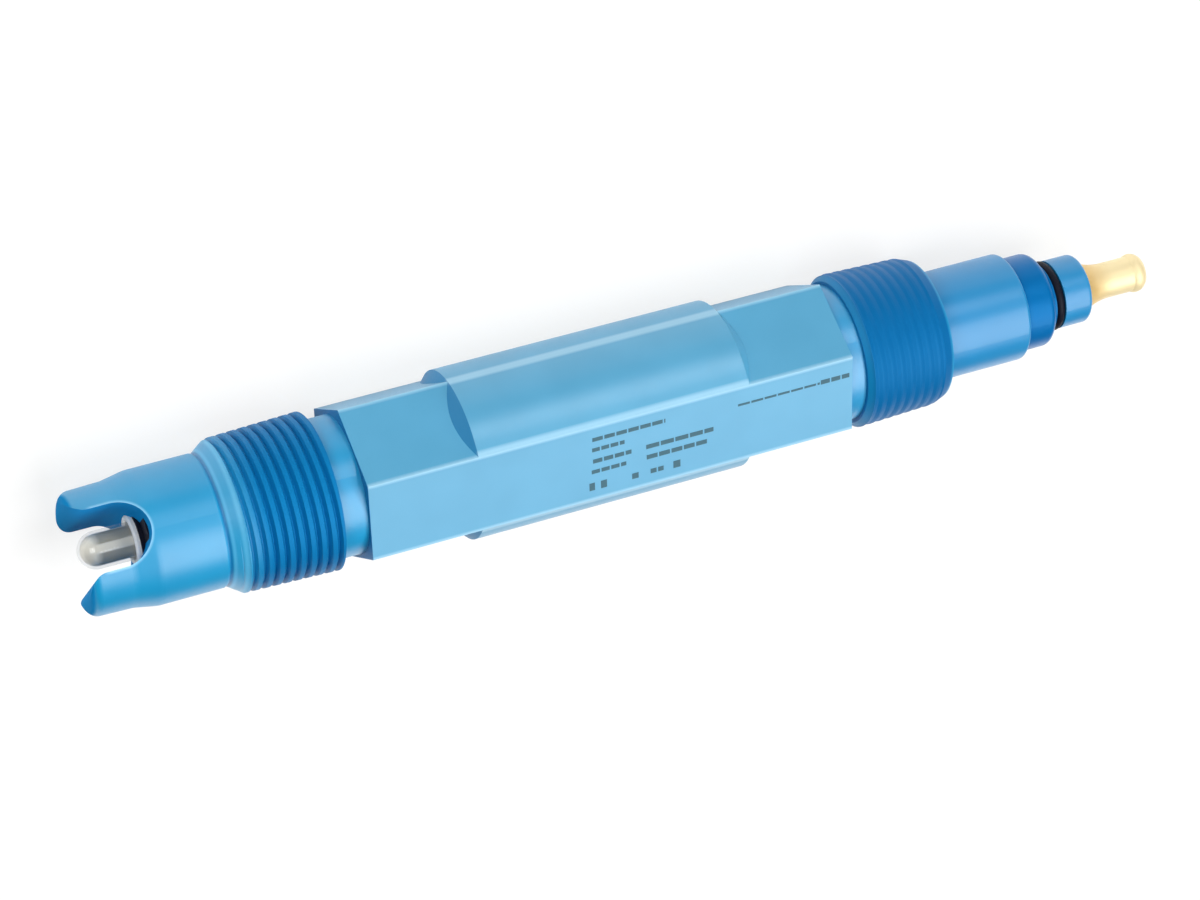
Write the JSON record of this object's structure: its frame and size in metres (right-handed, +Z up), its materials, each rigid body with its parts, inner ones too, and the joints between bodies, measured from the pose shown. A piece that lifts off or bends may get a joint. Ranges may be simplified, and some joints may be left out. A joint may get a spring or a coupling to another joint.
{
  "type": "ph electrode",
  "caption": "Industrial combination pH electrode: blue moulded body with taper threads, hexagonal wrench section, slotted guard round a glass bulb and a coaxial plug end.",
  "frame": {"origin": "centre of the footprint, at the height of the lowest thread crests", "axes": "X along the electrode, +X towards the glass bulb; +Z up, out of the printed flat; Y across"},
  "size_m": [0.198, 0.0294, 0.0272],
  "materials": {
    "body_plastic": "smooth moulded blue engineering plastic",
    "head_plastic": "smooth moulded blue plastic",
    "clear_glass": "clear thin-walled glass",
    "buffer_fill": "clear filling",
    "silver": "drawn wire",
    "chloride": "dark matt coating",
    "inner_plastic": "turned plastic",
    "white_junction": "white porous fluoroplastic",
    "black_rubber": "matt black rubber",
    "gel_fill": "cloudy gel",
    "potting_resin": "cast resin",
    "gold_contact": "gold-plated, bright",
    "lead_cover": "wire sleeve"
  },
  "bodies": {
    "root": {"electrode_body": "body_plastic", "plug_head": "head_plastic", "measuring_glass": "clear_glass", "inner_buffer": "buffer_fill", "inner_silver_wire": "silver", "inner_chloride_tip": "chloride", "stem_cap": "inner_plastic", "junction_ring": "white_junction", "front_seal": "black_rubber", "reference_tube": "inner_plastic", "reference_gel": "gel_fill", "reference_silver_wire": "silver", "reference_chloride_tip": "chloride", "chamber_bulkhead": "inner_plastic", "bulkhead_o_ring": "black_rubber", "potting": "potting_resin", "head_o_ring": "black_rubber", "plug_o_ring": "black_rubber", "outer_contact": "gold_contact", "contact_insulator": "white_junction", "centre_contact": "gold_contact", "signal_lead": "lead_cover", "reference_lead": "lead_cover"}
  },
  "joints": []
}
